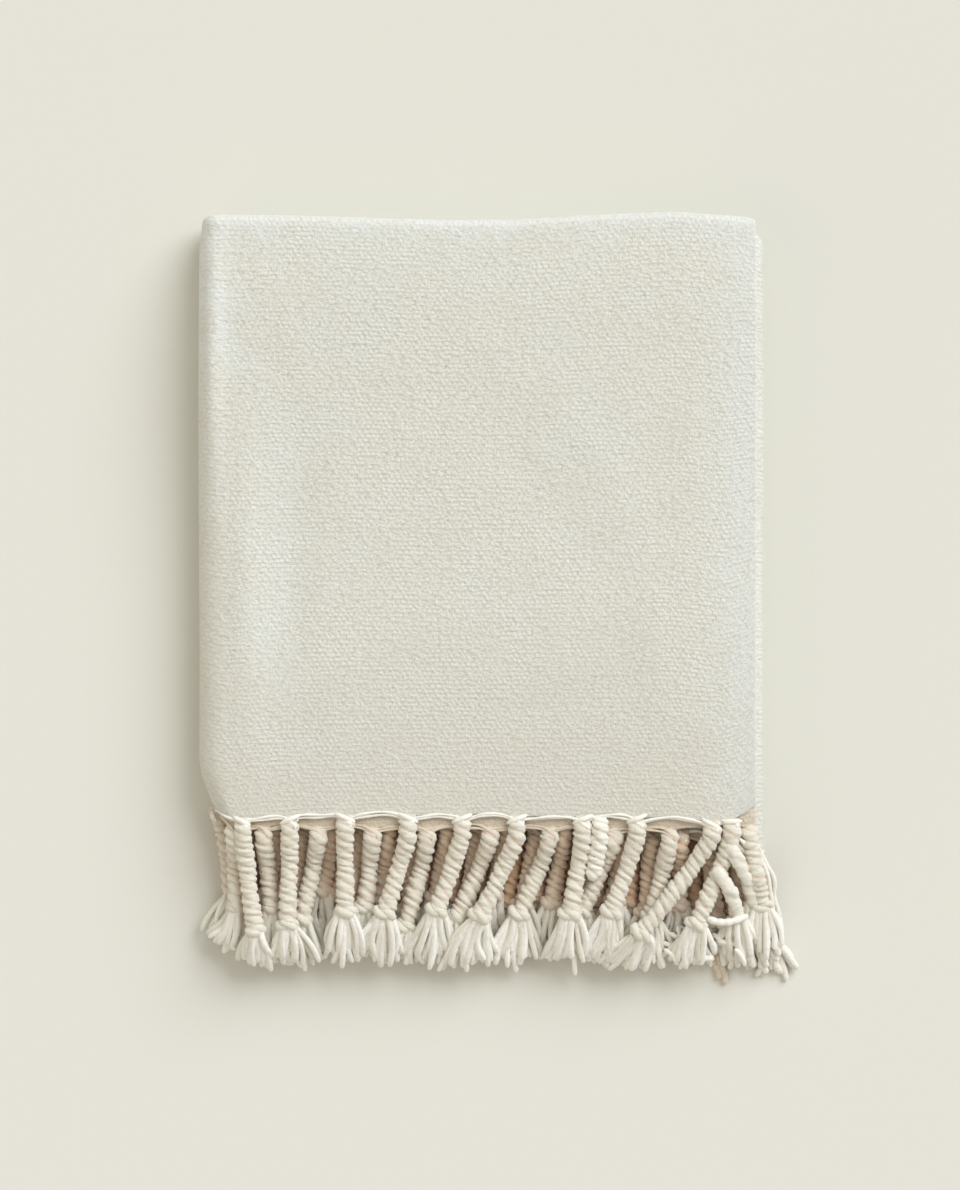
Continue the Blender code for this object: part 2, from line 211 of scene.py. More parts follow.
# How far they lean: x of the root, shift of the knot
LEAN = np.array(
    (
        (-216.0, 10.0),
        (-190.0, -2.0),
        (-100.0, -8.0),
        (50.0, -10.0),
        (140.0, -4.0),
        (180.0, 6.0),
        (216.0, 12.0),
    )
)
# Where ropes of the lower rows start to sink: x, y
LOWEST_HEM = np.array(
    (
        (-216.0, -243.5),
        (100.0, -244.5),
        (131.0, -247.0),
        (166.0, -254.5),
        (190.0, -267.0),
        (201.0, -270.5),
        (230.0, -271.5),
    )
)
# The wavy hem: its dip at a root, its rise between two, how far into the cloth it reaches,
# the span of a full wave, the least and most size, and the inner hem's share of it
SCALLOP_DIP = -1.6
SCALLOP_RISE = 3.4
SCALLOP_FADE = 14.0
SCALLOP_SPAN = 44.0
SCALLOP_SIZES = (0.4, 1.2)
INNER_SCALLOP = 0.8

# Rope: two plush plies turned tightly round each other, a little flattened where they lie
ROPE_HALF_WIDTH = 6.9
ROPE_FLATNESS = 0.86
GROOVE = 0.26
GROOVE_POWER = 2.2
LAY = 13.2
# Painted shade in the grooves and on the underside, and where the underside begins
SEAM_PAINTED_SHADE = 0.5
UNDER_PAINTED_SHADE = 0.95
UNDER_FROM = 0.15
# Unevenness of a rope, each with its wave: a wander and a quiver of its turn, lumps, a slow
# swelling, and one ply thicker than the other
WANDER, WANDER_WAVE = 0.6, 0.23
QUIVER, QUIVER_WAVE = 0.2, 0.71
LUMP, LUMP_WAVE, LUMP_BEAT = 0.085, 1.15, 0.37
SLOW_SWELL, SLOW_WAVE = 0.05, 0.13
PLY_SWELL, PLY_WAVE = 0.06, 0.31
# A rope's growth from its root: width and height there, what they gain, and over what length
ROOT_WIDTH, WIDTH_GAIN = 0.86, 0.14
ROOT_HEIGHT, HEIGHT_GAIN, HEIGHT_POWER = 0.2, 0.8, 1.5
GROWTH, GROWTH_PAST_CLEAR = 5.0, 2.0
# Where the yarns gather and where the rope arches over the hem: size, place, half length
GATHER = (0.1, 1.0, 3.0)
ARCH = (1.2, 3.0, 7.0)
ROOT_LIFT = 1.5
# Share of their half height that ropes and knots keep where they lie on the floor
ROPE_PRESS, KNOT_PRESS = 0.97, 0.95
ROPE_SIDES = 18
ROPE_STEP = 0.95
KNOT_MAJOR, KNOT_MINOR, KNOT_TUBE = 5.0, 1.8, 3.6
KNOT_FLATNESS = 0.6
KNOT_POINTS = 40
KNOT_SIDES = 10
KNOT_UNEVEN = 0.06
KNOT_TUBE_FLATNESS = 0.9
STRAND_RADIUS = 2.55
STRAND_SIDES = 6
STRAND_STEPS = np.array((0.0, 0.13, 0.27, 0.41, 0.55, 0.7, 0.85, 0.95, 1.0))
STRAND_PROFILE = np.array((0.85, 1.0, 0.97, 1.03, 0.98, 1.04, 1.0, 0.9, 0.5))
# Layers of a tuft, from the lowest up: yarns in a low tuft, in a top tuft, spread, length
TUFT_LAYERS = ((5, 8, 17.5, 0.97), (5, 8, 16.0, 1.0), (4, 7, 13.0, 0.9))
TUFT_LENGTHS = (24.0, 35.0)
TIP_LINE = -341.0
# How yarns start at the knot: half width, step of the layers, overlap with it
TUFT_START, TUFT_START_STEP, TUFT_OVERLAP = 6.0, 1.9, 1.5
TUFT_TIP_STEP = 3.2
TUFT_STAGGER = 0.5
TUFT_ROUNDED = 0.1
SPREAD_POWER, DROOP_POWER = 1.1, 1.4
# Spread of the chances in each yarn: length, side, bend, arch, tip, thickness, tint
CHANCE_LENGTH, CHANCE_SIDE, CHANCE_BEND, CHANCE_ARCH = 0.11, 0.19, 2.4, 1.4
CHANCE_TIP, CHANCE_THICK, CHANCE_TINT = 1.0, 0.1, 0.1
# Painted shade on the yarns of a tuft where they leave the knot
KNOT_END_PAINTED_SHADE = 0.2
# Tufts past this x fan out to the left and are smaller
LEFT_FAN, LEFT_FAN_X, LEFT_FAN_SIZE = -15.0, -195.0, 0.85
TUFT_HEADING = 0.25
# Half widths of the yarns along the hem and round the roots, and their least height
HEM_YARN = 1.1
ROOT_YARN = 1.9
FLOOR_GAP = 0.05
# Two yarns lie between two roots that are no further apart than this
HEM_YARN_SPAN, HEM_YARNS, HEM_YARN_POINTS = 60.0, 2, 17
# Painted light on yarns that lie on top, and painted shade on the yarns of the inner hem, which lies
# under the outer one
PAINTED_LIGHT_LEVEL = -0.25
INNER_HEM_PAINTED_SHADE = 0.3
OUTER_SEED, INNER_SEED = 11, 23
ANY_TURN = (0, 6.28)
# Short frayed yarns over the tufts by the right corner: how many, and where they start
FRAYED = 18
FRAYED_X, FRAYED_Y, FRAYED_Z = (134.0, 206.0), (-332.0, -312.0), (23.0, 28.0)

# Two loosened, hardly twisted ropes by the right corner, with their own tufts: x, y and z of
# points in turn
LOOSE_ROPES = (
    (
        187.0, -246.0, 41.0, 191.0, -255.0, 46.0, 198.0, -268.0, 44.0, 204.0, -282.0, 36.0,
        207.5, -296.0, 27.0,
    ),
    (
        178.0, -266.0, 40.0, 182.0, -274.0, 45.0, 188.0, -284.0, 44.0, 193.0, -296.0, 38.0,
        195.0, -308.0, 31.0,
    ),
)
LOOSE_ROPE_HALF_WIDTH = 5.4
LOOSE_GROOVE, LOOSE_LAY = 0.22, 46.0
LOOSE_ROPE_POINTS, LOOSE_YARN_POINTS, LOOSE_YARN_SIDES = 48, 25, 8
# Loosened yarns by the right corner and along the tips: x, y and z of points in turn
LOOSE_YARNS = (
    (
        196.0, -246.0, 43.0, 209.0, -257.0, 41.0, 218.0, -271.0, 33.0, 221.0, -290.0, 25.0,
        224.0, -309.0, 15.0, 230.0, -331.0, 6.0,
    ),
    (
        199.0, -244.0, 42.0, 212.0, -251.0, 38.0, 215.0, -265.0, 31.0, 226.0, -277.0, 25.0,
        222.0, -293.0, 17.0, 231.0, -309.0, 9.0, 229.0, -322.0, 4.0,
    ),
    (
        192.0, -247.0, 40.0, 205.0, -262.0, 38.0, 213.0, -278.0, 31.0, 216.0, -294.0, 24.0,
        215.0, -310.0, 17.0,
    ),
    (171.0, -307.0, 37.0, 180.0, -310.0, 39.0, 190.0, -310.0, 39.0, 203.0, -305.5, 35.0),
    (216.0, -306.0, 20.0, 221.0, -315.0, 15.0, 223.0, -325.0, 10.0, 228.0, -337.0, 4.0),
    (156.5, -316.0, 33.0, 155.5, -325.0, 32.0, 156.5, -335.0, 29.0, 156.0, -345.0, 24.0),
    (160.0, -337.0, 26.0, 165.0, -338.5, 27.0, 170.0, -338.0, 26.0, 177.0, -338.5, 23.0),
    (181.0, -337.0, 8.0, 184.0, -345.0, 4.0, 187.0, -352.0, 2.9, 188.0, -360.0, 2.9),
    (176.0, -335.0, 8.0, 178.0, -342.0, 4.0, 182.0, -349.0, 2.9, 183.0, -356.0, 2.9),
)
THIN_YARNS = (0, 1, 2)
# Painted shade on the loose yarns that lie low, under the others
DEEP_YARNS = (7, 8)
LOW_YARN_PAINTED_SHADE = 0.3

# Painted shade of each row, for how deep in the fringe it lies, from 0 for the top one to 1 for the
# lowest, and the height at which the tips of its tufts lie
ROW_PAINTED_SHADE = {TOP_OUTER_Z: 0.0, TOP_INNER_Z: 0.03, MIDDLE_ROW_Z: 0.42, FLOOR_ROW_Z: 0.8}
TIP_Z = {TOP_OUTER_Z: 23.0, TOP_INNER_Z: 17.5, MIDDLE_ROW_Z: 9.5, FLOOR_ROW_Z: 2.6}
# Ropes past this x lie by a side, in the light, and get less painted shade
SIDE_X, SIDE_PAINTED_SHADE = 193.0, 0.4

# A short twisted end that lies in the gap between two tassels: u of its root, x of its tip, drop
LOOSE_END = (119.4, 84.0, 47.0)


def share(value, start, end):
    """How far value has come from start to end, from 0 to 1."""
    return np.clip((value - start) / (end - start), 0, 1)


def outline(u, index):
    """y of one edge at u, by its column in the table."""
    return np.interp(u, OUTLINE[:, 0], OUTLINE[:, index])


def across(u, depth):
    """x and z of points of the bundle, and the outward direction there, in the x-z plane."""
    u, depth = np.broadcast_arrays(np.asarray(u, float), np.asarray(depth, float))
    left = np.pi * (u - U_LEFT) / (U_BOTTOM - U_LEFT)
    right = np.pi * (u - U_RIGHT) / (U_MIDDLE - U_RIGHT)
    part = [u <= U_LEFT, u < U_BOTTOM, u <= U_RIGHT, u < U_MIDDLE]
    one = np.ones_like(u)
    out_x = np.select(part, [0 * u, -np.sin(left), 0 * u, np.sin(right)], 0 * u)
    out_z = np.select(part, [one, np.cos(left), -one, -np.cos(right)], one)
    rl, rr = LEFT_RADIUS - depth, RIGHT_RADIUS - depth
    x = np.select(
        part,
        [SELVEDGE_X - u, LEFT_X + rl * out_x, LEFT_X + u - U_BOTTOM, RIGHT_X + rr * out_x],
        RIGHT_X - (u - U_MIDDLE),
    )
    z = np.select(
        part,
        [TOP_Z - depth, LEFT_Z + rl * out_z, BASE_Z + depth, RIGHT_Z + rr * out_z],
        MIDDLE_Z - depth,
    )
    return x, z, out_x, out_z


def scallop(u, roots):
    """The hem's dip at each tassel and its rise between two of them."""
    roots = np.sort(roots)
    spots = np.concatenate(([2 * roots[0] - roots[1]], roots, [2 * roots[-1] - roots[-2]]))
    k = np.clip(np.searchsorted(spots, u) - 1, 0, len(spots) - 2)
    span = spots[k + 1] - spots[k]
    part = np.clip((u - spots[k]) / np.maximum(span, 1.0), 0.0, 1.0)
    size = np.clip(span / SCALLOP_SPAN, *SCALLOP_SIZES) * (0.75 + 0.5 * np.sin(2.7 * k + 0.5))
    return SCALLOP_DIP * size + SCALLOP_RISE * size * (1.0 - np.abs(2.0 * part - 1.0) ** 3.5)


def along(u, v, side):
    """y and depth on one face of the sheet, in seven stretches from hem to hem."""
    outer_hem, inner_hem, crown = outline(u, 1), outline(u, 2), outline(u, 3)
    middle = outer_hem + MID_FOLD_SETBACK
    by_outer = np.clip(1 - v * (crown - outer_hem) / SCALLOP_FADE, 0, 1) ** 2
    by_inner = np.clip(1 - (STRETCHES - v) * (crown - inner_hem) / SCALLOP_FADE, 0, 1) ** 2
    outer_hem = outer_hem + scallop(u, OUTER_ROOTS) * by_outer
    inner_hem = inner_hem + INNER_SCALLOP * scallop(u, INNER_ROOTS) * by_inner
    stretch = np.minimum(np.floor(v), STRETCHES - 1)
    part = v - stretch
    turn = np.pi * part
    wide, tight, snug = OUTER_TURN + side, INNER_TURN + side, INNER_TURN - side
    which = [stretch == k for k in range(STRETCHES - 1)]
    y = np.select(
        which,
        [
            outer_hem + part * (crown - outer_hem),
            crown + wide * np.sin(turn),
            crown + part * (middle - crown),
            middle - tight * np.sin(turn),
            middle + part * (crown - middle),
            crown + snug * np.sin(turn),
        ],
        crown + part * (inner_hem - crown),
    )
    depth = np.select(
        which,
        [
            -side + 0 * u,
            OUTER_TURN - wide * np.cos(turn),
            DEEPEST + side + 0 * u,
            DEEPEST - INNER_TURN + tight * np.cos(turn),
            2 * PITCH - side + 0 * u,
            OUTER_TURN + snug * np.cos(turn),
        ],
        PITCH + side + 0 * u,
    )
    return y, depth


def relief(x, y):
    """Height that the top surface gains over the flat stack."""
    total = 0.0 * x
    for cx, cy, half_long, half_wide, angle, height in CREASES:
        c, s = math.cos(math.radians(angle)), math.sin(math.radians(angle))
        a = ((x - cx) * c + (y - cy) * s) / half_long
        b = (-(x - cx) * s + (y - cy) * c) / half_wide
        total = total + height * np.exp(-(a**2) - b**2)
    for (fall, start, end), place in ((RIGHT_FALL, x), (TOP_FALL, y), (HEM_FALL, y)):
        total = total - fall * share(place, start, end) ** 1.5
    return total


def tuck(x, y):
    """How far a point on the left is drawn in, by the hem and by the far edge."""
    reach = share(x, *TUCK_X)
    near_hem = share(y, *TUCK_Y)
    fold = TUCK * near_hem**2 * (3.0 - 2.0 * near_hem)
    return reach**2 * (fold + ROPE_TUCK * share(y, *ROPE_TUCK_Y) + TOP_TUCK * share(y, *TOP_TUCK_Y) ** 2)


def settle(x, y, z):
    """The stack's unevenness: heights scale together, so layers keep their order."""
    swell = SWELL * np.sin(x / SWELL_X + SWELL_START) * np.cos(y / SWELL_Y)
    slope = SLOPE * np.clip(-y / HALF_LENGTH, -1, 1)
    wave = EDGE_WAVE * np.sin(y / EDGE_WAVE_Y + EDGE_WAVE_START) * x / HALF_WIDTH
    lift = relief(x, np.maximum(y, HEM_Y)) / TOP_Z
    return np.stack([x + wave + tuck(x, y), y, z * (1.0 + swell + slope + lift)], axis=-1) * MM


def make_mesh(name, points, quads, uv=None, tint=None):
    """An object from an array of points and an array of quads, with a UV per point and a value per point
    of painted light and shade, with some random tone.
    """
    mesh = bpy.data.meshes.new(name)
    mesh.vertices.add(len(points))
    mesh.vertices.foreach_set("co", np.ascontiguousarray(points, np.float32).ravel())
    mesh.loops.add(quads.size)
    mesh.loops.foreach_set("vertex_index", np.ascontiguousarray(quads, np.int32).ravel())
    mesh.polygons.add(len(quads))
    mesh.polygons.foreach_set("loop_start", np.arange(0, quads.size, 4, dtype=np.int32))
    mesh.polygons.foreach_set("use_smooth", np.ones(len(quads), bool))
    mesh.update(calc_edges=True)
    if uv is not None:
        layer = mesh.uv_layers.new(name="flat")
        layer.data.foreach_set("uv", np.ascontiguousarray(uv[quads.ravel()], np.float32).ravel())
    if tint is not None:
        layer = mesh.attributes.new("tint", "FLOAT", "POINT")
        layer.data.foreach_set("value", np.ascontiguousarray(tint, np.float32))
    mesh.validate()
    obj = bpy.data.objects.new(name, mesh)
    bpy.context.scene.collection.objects.link(obj)
    return obj


def grid_quads(rows, columns, start=0, wrap=False):
    """Quads over points stored row by row. With wrap, the last column joins the first."""
    r = np.arange(rows - 1)[:, None]
    c = np.arange(columns if wrap else columns - 1)[None, :]
    d = (c + 1) % columns
    low, high = r * columns, (r + 1) * columns
    quads = np.stack([low + c, low + d, high + d, high + c], axis=-1)
    return quads.reshape(-1, 4) + start


def row_of_root(u, outer):
    """Height of the row in which the tassel with this root rests."""
    if u < U_LEFT + LEFT_UPPER_SHARE * (U_BOTTOM - U_LEFT):
        return TOP_OUTER_Z if outer else TOP_INNER_Z
    if u < U_LEFT + LEFT_LOWER_SHARE * (U_BOTTOM - U_LEFT):
        return MIDDLE_ROW_Z
    if u < U_RIGHT + RIGHT_LOWER_SHARE * (U_MIDDLE - U_RIGHT):
        return FLOOR_ROW_Z
    return MIDDLE_ROW_Z


def tassel_list(table, following):
    """All tassels of one end: u of the root, x of the knot, drop."""
    rows = list(table)
    for k in range(TASSELS - len(table)):
        u = following + k * NEXT_STEP
        x = float(across(u, 0.0)[0])
        lean = float(np.interp(x, LEAN[:, 0], LEAN[:, 1]))
        rows.append((u, x + lean, SHORTEST_DROP + DROP_WAVE * (1.0 + math.sin(DROP_WAVE_STEP * k))))
    return rows


OUTER_TASSELS = tassel_list(TOP_OUTER, OUTER_NEXT)
INNER_TASSELS = tassel_list(TOP_INNER, INNER_NEXT)
OUTER_ROOTS = np.array([row[0] for row in OUTER_TASSELS])
INNER_ROOTS = np.array([row[0] for row in INNER_TASSELS])


def folded_sheet():
    """The whole sheet at fine grain, with rounded edges."""
    us = [np.linspace(a, b, n, endpoint=False) for a, b, n in WIDTH_CELLS]
    us = np.concatenate(us + [[U_END]])
    us = np.unique(np.concatenate([us[2:-2], EDGE_CELLS, U_END - np.array(EDGE_CELLS)]))
    vs = [k + np.arange(n) / n for k, n in enumerate(LENGTH_CELLS)]
    vs = np.concatenate(vs + [[STRETCHES]])
    edge = np.array(EDGE_CELLS) / STRETCH_LENGTHS[0]
    vs = np.unique(np.concatenate([vs[1:-1], edge, STRETCHES - edge]))
    u, v = np.meshgrid(us, vs)
    from_hems = np.minimum(v, STRETCHES - v) * STRETCH_LENGTHS[0]
    from_edge = np.minimum(np.minimum(u, U_END - u), from_hems)
    round_off = np.sqrt(1 - (1 - np.clip(from_edge / HALF, LEAST_INSET, 1)) ** 2)
    points = []
    for side in (HALF, -HALF):
        y, depth = along(u, v, side * round_off)
        x, z, _, _ = across(u, depth)
        points.append(settle(x, y, z).reshape(-1, 3))
    rows, columns = u.shape
    count = rows * columns
    upper = grid_quads(rows, columns)
    lower = grid_quads(rows, columns, count)[:, ::-1]
    ring = np.concatenate(
        [
            np.arange(columns),
            np.arange(1, rows) * columns + columns - 1,
            (rows - 1) * columns + np.arange(columns - 2, -1, -1),
            np.arange(rows - 2, 0, -1) * columns,
        ]
    )
    after = np.roll(ring, -1)
    rim = np.stack([after, ring, ring + count, after + count], axis=-1)
    lengths = np.concatenate([[0], np.cumsum(STRETCH_LENGTHS)])
    flat_v = np.interp(vs, np.arange(STRETCHES + 1), lengths)
    fu, fv = np.meshgrid(us * MM, flat_v * MM)
    uv = np.stack([fu, fv], axis=-1).reshape(-1, 2)
    quads = np.concatenate([upper, lower, rim])
    return make_mesh("chenille_sheet", np.concatenate(points), quads, np.concatenate([uv, uv]))


def directions(path, closed):
    """Two directions square to the path at each of its points, turned as little as can be."""
    n = len(path)
    if closed:
        tangent = np.roll(path, -1, 0) - np.roll(path, 1, 0)
    else:
        tangent = np.gradient(path, axis=0)
    tangent /= np.linalg.norm(tangent, axis=1)[:, None]
    first = np.zeros((n, 3))
    steep = abs(tangent[0][2]) >= 0.9
    guide = np.array([1.0, 0.0, 0.0]) if steep else np.array([0.0, 0.0, 1.0])
    for i in range(n):
        guide = guide - tangent[i] * guide.dot(tangent[i])
        guide /= np.linalg.norm(guide)
        first[i] = guide
    second = np.cross(tangent, first)
    if closed:
        # The turn left over at the join is shared out along the tube
        end = first[-1] - tangent[0] * first[-1].dot(tangent[0])
        extra = math.atan2(end.dot(second[0]), end.dot(first[0]))
        turn = -extra * np.arange(n) / (n - 1)
        c, s = np.cos(turn)[:, None], np.sin(turn)[:, None]
        first, second = first * c + second * s, second * c - first * s
    return first, second


def along_tube(value, count):
    """One value for the whole tube, or one for each of its sections, as an array."""
    return np.broadcast_to(np.asarray(value, float), (count,))[:, None]


class Tubes:
    """Collects swept tubes into one mesh."""

    def __init__(self):
        self.points, self.quads, self.uv, self.tint, self.count = [], [], [], [], 0

    def sweep(self, path, radii, sides, tint, shape=None, closed=False, flatness=1.0):
        """A tube along path. shape gives the radius round it and the painted shade of its seams, flatness
        the height.
        """
        path = np.asarray(path, float)
        path = settle(path[:, 0], path[:, 1], path[:, 2]) / MM
        n = len(path)
        first, second = directions(path, closed)
        distance = np.concatenate([[0], np.cumsum(np.linalg.norm(np.diff(path, axis=0), axis=1))])
        angle = 2 * np.pi * np.arange(sides) / sides
        radius = along_tube(radii, n) * np.ones((1, sides))
        tint = along_tube(tint, n) * np.ones((1, sides))
        if shape is not None:
            factor, seam = shape(angle[None, :], distance[:, None])
            radius = radius * factor
            # Painted shade in the grooves between the plies and on the underside
            under = np.clip(UNDER_FROM - np.cos(angle), 0, 1)[None, :]
            tint = tint + SEAM_PAINTED_SHADE * seam + UNDER_PAINTED_SHADE * under
        ring = path[:, None, :] + radius[:, :, None] * (
            along_tube(flatness, n)[:, :, None] * first[:, None, :] * np.cos(angle)[None, :, None]
            + second[:, None, :] * np.sin(angle)[None, :, None]
        )
        ring[:, :, 2] = np.maximum(ring[:, :, 2], FLOOR_GAP)
        quads = grid_quads(n, sides, 0, True)
        if closed:
            k, last = np.arange(sides), (n - 1) * sides
            after = (k + 1) % sides
            quads = np.concatenate([quads, np.stack([last + k, last + after, after, k], axis=-1)])
        round_it = np.broadcast_to(angle / (2 * np.pi), (n, sides))
        along_it = np.broadcast_to(distance[:, None] * MM, (n, sides))
        uv = np.stack([round_it, along_it], axis=-1)
        self.points.append(ring.reshape(-1, 3))
        self.quads.append(quads[:, ::-1] + self.count)
        self.uv.append(uv.reshape(-1, 2))
        self.tint.append(tint.ravel())
        self.count += n * sides
        if not closed:
            for row, flip in ((0, False), (n - 1, True)):
                self.cap(ring[row], uv[row], tint[row].mean(), flip)

    def cap(self, ring, uv, tint, flip):
        """Closes one end with quads that share a middle point."""
        sides = len(ring)
        self.points.append(np.concatenate([ring, [ring.mean(0)]]))
        self.uv.append(np.concatenate([uv, [uv.mean(0)]]))
        self.tint.append(np.full(sides + 1, tint))
        k = np.arange(0, sides, 2)
        quads = np.stack([k, (k + 1) % sides, (k + 2) % sides, np.full(len(k), sides)], axis=-1)
        self.quads.append((quads[:, ::-1] if flip else quads) + self.count)
        self.count += sides + 1

    def build(self, name):
        """Makes one object of all the tubes."""
        quads, uv, tint = (np.concatenate(part) for part in (self.quads, self.uv, self.tint))
        return make_mesh(name, np.concatenate(self.points) * MM, quads, uv, tint)


def ply_shape(phase, wobble, groove=GROOVE, lay=LAY):
    """Radius round and along the rope: two plies pressed together, each a little lumpy, with painted
    shade in the groove between them.
    """

    def shape(angle, distance):
        turn = -2 * np.pi * distance / lay + phase + WANDER * np.sin(distance * WANDER_WAVE + wobble)
        turn = turn + QUIVER * np.sin(distance * QUIVER_WAVE)
        ply = np.cos(angle - turn)
        seam = (1.0 - np.abs(ply)) ** GROOVE_POWER
        lump = LUMP * np.sin(LUMP_WAVE * distance + 2.0 * np.sin(angle + wobble))
        lump = lump * np.sin(LUMP_BEAT * distance + wobble)
        swelling = SLOW_SWELL * np.sin(SLOW_WAVE * distance + 2.0 * wobble)
        swelling = swelling + PLY_SWELL * ply * np.sin(PLY_WAVE * distance)
        return 1.0 - groove * seam + lump + swelling, seam**1.5

    return shape


def sink(y, start):
    """Share of the root's height that a rope still has at y, once it sinks from start on."""
    part = np.clip((start - y) / SINK_RUN, 0, 1)
    return (1 - part) ** 2 * (1 + 2 * part)


def hump(out, size, place, half):
    """A soft rise on the way out from the root."""
    return size * np.exp(-(((out - place) / half) ** 2))


def blunt_ends(t, rise, least):
    """Widths of a yarn from end to end, rounded at both."""
    return np.sqrt(np.clip(rise * np.minimum(t, 1 - t) + least, 0, 1))


def blunt_by_steps(steps, reach, least):
    """Widths of a yarn by the steps from its end, rounded over reach of them."""
    return np.sqrt(np.clip(steps / reach, least, 1.0))


def hem_point(u, out, depth, rise, index):
    """A point by the hem: out past it towards the fringe, and rise off the sheet's face."""
    x, z, nx, nz = across(u, depth)
    return np.array([float(x + rise * nx), float(outline(u, index) - out), float(z + rise * nz)])


def rope_path(u, knot_x, drop, outer):
    """Centre line from inside the hem to the knot, its half width, its flatness and its row."""
    depth = 0.0 if outer else PITCH
    index = 1 if outer else 2
    x0, z0, nx, nz = (float(value) for value in across(u, depth))
    rest = row_of_root(u, outer)
    floor_row = rest == FLOOR_ROW_Z
    root_y = float(outline(u, index)) - STRIP_GAP - STRIP
    under = float(outline(u, 2)) - STRIP_GAP - STRIP
    start = under
    if rest != TOP_OUTER_Z:
        start = float(np.interp(x0, LOWEST_HEM[:, 0], LOWEST_HEM[:, 1]))
    clear = max(SHORTEST_NECK, root_y - (under if outer else under + STRIP + STRIP_GAP) + CLEARANCE)
    length = drop - STRIP
    lift = 0.0 if floor_row or not outer else NECK_LIFT
    out = np.arange(-ROOT_COVER, length + 1.5, ROPE_STEP)
    y = root_y - out
    x = x0 + (knot_x - x0) * (np.clip(out - clear, 0, None) / (length - clear)) ** BOW
    lifted = lift * np.clip(1 - (out - clear) / SINK_RUN, 0, 1)
    grown = clear + GROWTH_PAST_CLEAR if floor_row and outer else GROWTH
    grow = np.clip((out + ROOT_COVER) / (ROOT_COVER + grown), 0, 1)
    radius = ROPE_HALF_WIDTH * (ROOT_WIDTH + WIDTH_GAIN * grow + hump(out, *GATHER))
    flatness = ROPE_FLATNESS * (ROOT_HEIGHT + HEIGHT_GAIN * np.sin(0.5 * np.pi * grow) ** HEIGHT_POWER)
    x = x + (lifted + ROOT_LIFT * (1 - grow) * lift) * nx
    z = rest + (z0 - rest) * sink(y, start) + lifted * nz
    if outer and not floor_row:
        z = z + hump(out, *ARCH) * nz
    z = np.maximum(z, radius * flatness * ROPE_PRESS)
    return np.stack([x, y, z], axis=-1), radius, flatness, rest


def knot_path(centre, tangent, turn):
    """A fat overhand knot pulled tight round the rope's axis."""
    t = 2 * np.pi * np.arange(KNOT_POINTS) / KNOT_POINTS
    reach = KNOT_MAJOR + KNOT_MINOR * np.cos(3 * t)
    side = np.cross(tangent, [0.0, 0.0, 1.0])
    side /= np.linalg.norm(side)
    up = np.cross(side, tangent)
    across_it = (reach * np.cos(2 * t + turn))[:, None] * side
    over_it = (KNOT_FLATNESS * reach * np.sin(2 * t + turn))[:, None] * up
    path = centre + across_it + over_it + (KNOT_MINOR * np.sin(3 * t))[:, None] * tangent
    path[:, 2] = np.maximum(path[:, 2], KNOT_TUBE * KNOT_PRESS)
    return path


def add_tuft(tubes, rng, centre, heading, rest, tint, size=1.0):
    """The yarns that spread from a knot in layers: thick, blunt, a little curved, drooping."""
    top = rest in (TOP_OUTER_Z, TOP_INNER_Z)
    whole = size * np.clip(centre[1] - TIP_LINE, *TUFT_LENGTHS)
    t = STRAND_STEPS
    for layer, (few, many, spread, reach) in enumerate(TUFT_LAYERS):
        count = many if top else few
        for k in range(count):
            place = (2.0 * k + TUFT_STAGGER * (layer % 2)) / (count - 1) - 1.0
            uneven = 1.0 - TUFT_ROUNDED * place**2 + CHANCE_LENGTH * rng.standard_normal()
            length = whole * reach * uneven
            sideways = spread * (place + CHANCE_SIDE * rng.standard_normal())
            bend = CHANCE_BEND * rng.standard_normal()
            arch = CHANCE_ARCH * rng.standard_normal()
            start_side, start_up = TUFT_START * place, TUFT_START_STEP * (layer - 1)
            x = centre[0] + start_side + (sideways - start_side) * t**SPREAD_POWER
            x = x + heading * t + bend * np.sin(np.pi * t)
            y = centre[1] - TUFT_OVERLAP - length * t
            lowest = TIP_Z[rest] + TUFT_TIP_STEP * (layer - 1) + CHANCE_TIP * rng.standard_normal()
            lowest = max(lowest, STRAND_RADIUS)
            z = centre[2] + start_up + (lowest - centre[2] - start_up) * t**DROOP_POWER
            z = z + arch * np.sin(np.pi * t)
            thick = STRAND_RADIUS * (1 + CHANCE_THICK * rng.standard_normal()) * STRAND_PROFILE
            z = np.maximum(z, thick)
            # Painted light and shade from the row, with random tone, and painted shade where the yarns
            # leave the knot
            shade = tint + CHANCE_TINT * rng.standard_normal() + KNOT_END_PAINTED_SHADE * (1.0 - t) ** 3
            tubes.sweep(np.stack([x, y, z], axis=-1), thick, STRAND_SIDES, shade)


def smooth_path(row, count):
    """A soft curve of count points near the ones given in a row of x, y and z in turn."""
    points = np.reshape(row, (-1, 3))
    spots = np.linspace(0, 1, len(points))
    t = np.linspace(0, 1, count)
    path = np.stack([np.interp(t, spots, points[:, k]) for k in range(3)], axis=-1)
    for _ in range(count // 4):
        path[1:-1] = (path[:-2] + 2.0 * path[1:-1] + path[2:]) / 4.0
    return path


